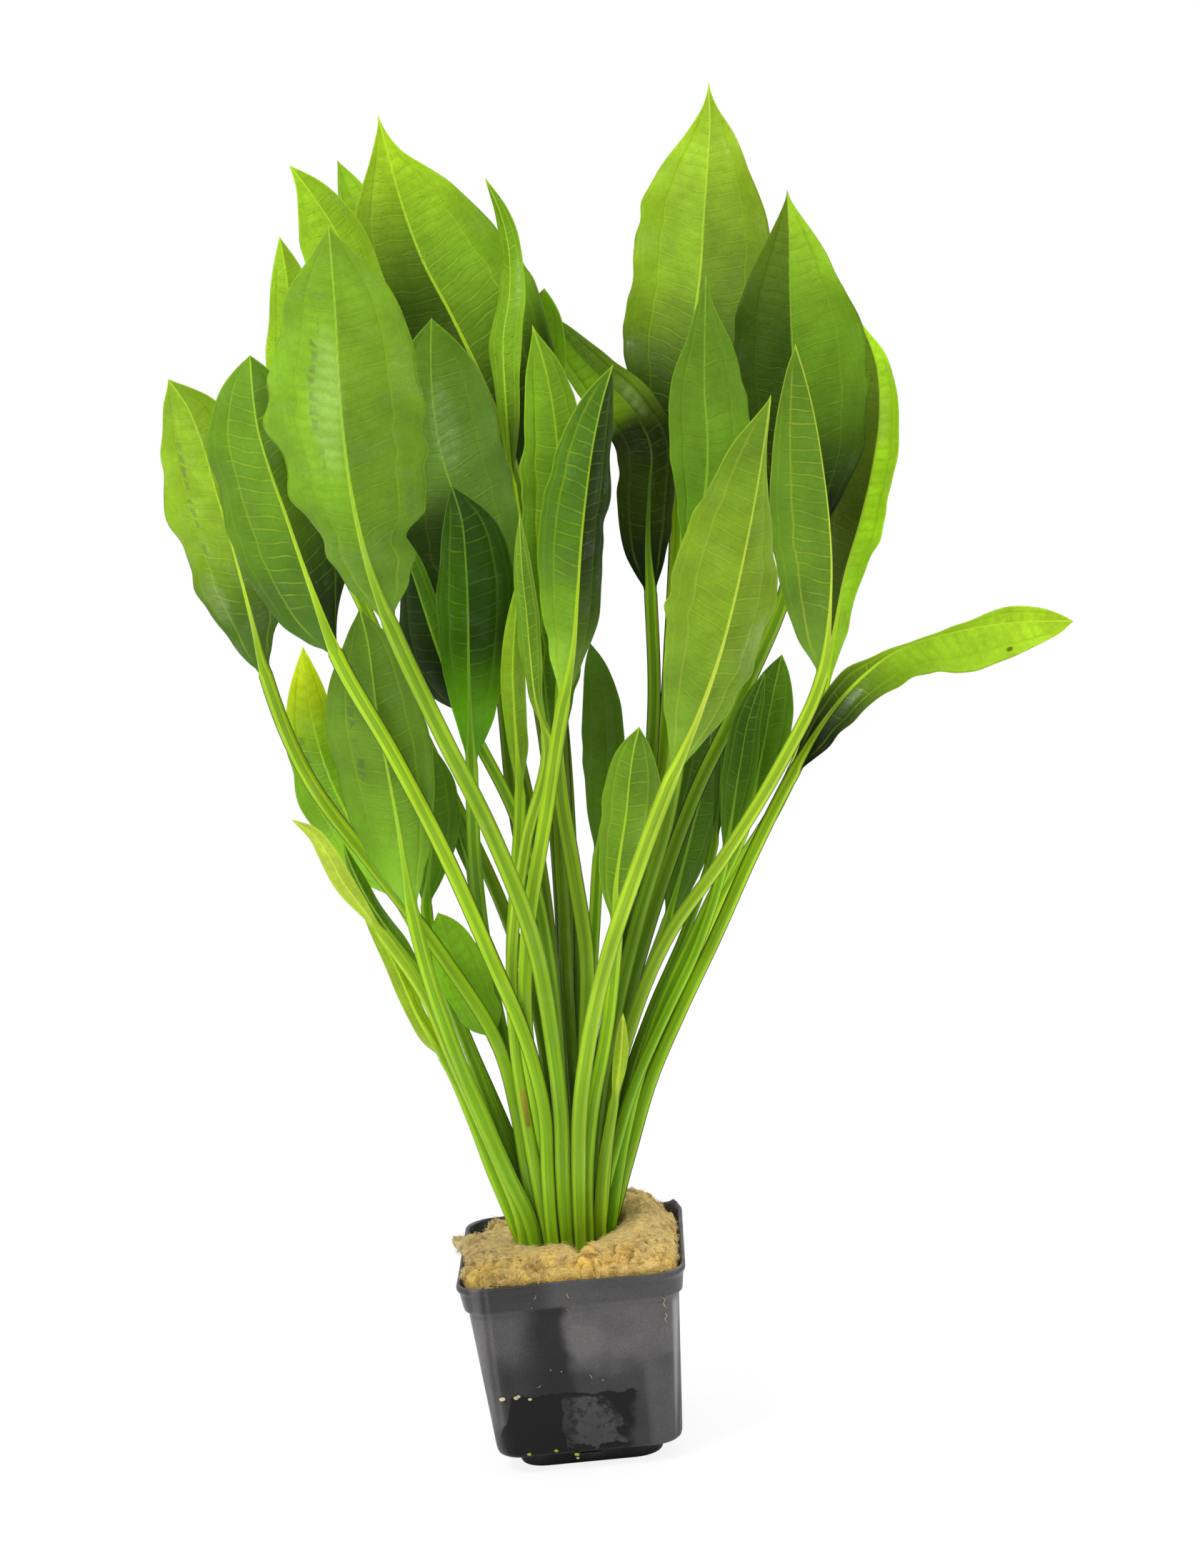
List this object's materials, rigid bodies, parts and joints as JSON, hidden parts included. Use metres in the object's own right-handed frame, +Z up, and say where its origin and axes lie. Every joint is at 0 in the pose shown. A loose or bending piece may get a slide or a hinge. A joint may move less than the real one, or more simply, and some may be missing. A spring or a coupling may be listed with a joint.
{
  "type": "potted amazon sword plant",
  "caption": "Bushy aquarium plant with long-stalked lance-shaped leaves, rooted in a rock wool plug in a square black plastic pot.",
  "frame": {"origin": "middle of the pot's flat foot, on the surface that it stands on", "axes": "+Z up along the plant; -Y towards the viewer of the picture, +X to its right"},
  "size_m": [0.3071, 0.233, 0.4786],
  "materials": {
    "pot": "black moulded plastic, satin",
    "rock_wool": "damp tan mineral fibre, lumpy",
    "crown": "brown rhizome with root fibres",
    "leaf_front": "mid green leaf, wet gloss, lighter veins",
    "leaf_back": "dark green leaf, wet gloss, lighter veins"
  },
  "bodies": {
    "root": {"pot": "pot", "rock_wool": "rock_wool", "crown": "crown", "leaf_front_broad": "leaf_front", "leaf_front_right": "leaf_front", "leaf_left_broad": "leaf_front", "leaf_lower_left": "leaf_front", "leaf_front_centre": "leaf_front", "leaf_edge_on": "leaf_front", "leaf_far_left": "leaf_front", "leaf_low_yellow": "leaf_front", "leaf_small_blunt": "leaf_front", "leaf_low_narrow": "leaf_front", "leaf_small_right": "leaf_front", "leaf_shoot_right": "leaf_front", "leaf_ruffled": "leaf_front", "leaf_pale": "leaf_front", "leaf_dark_left": "leaf_front", "leaf_shoot_left": "leaf_front", "leaf_slender": "leaf_front", "leaf_folded_right": "leaf_front", "leaf_folded_left": "leaf_front", "leaf_yellowing": "leaf_front", "leaf_lower_inner": "leaf_back", "leaf_lower_narrow": "leaf_back", "leaf_upper_outer": "leaf_front", "leaf_rounded": "leaf_back", "leaf_right_inner": "leaf_back", "leaf_right_behind": "leaf_back", "leaf_pointed": "leaf_back", "leaf_upper_middle": "leaf_back", "leaf_twisted": "leaf_back", "leaf_sideways": "leaf_back", "leaf_upper_right": "leaf_back", "leaf_dark_narrow": "leaf_back", "leaf_upper_left": "leaf_back", "leaf_upper_centre": "leaf_back", "leaf_upper_inner": "leaf_back", "leaf_arching": "leaf_back", "leaf_tallest": "leaf_back", "leaf_far_right": "leaf_back", "leaf_dark_back": "leaf_back", "leaf_dark_right": "leaf_back"}
  },
  "joints": []
}
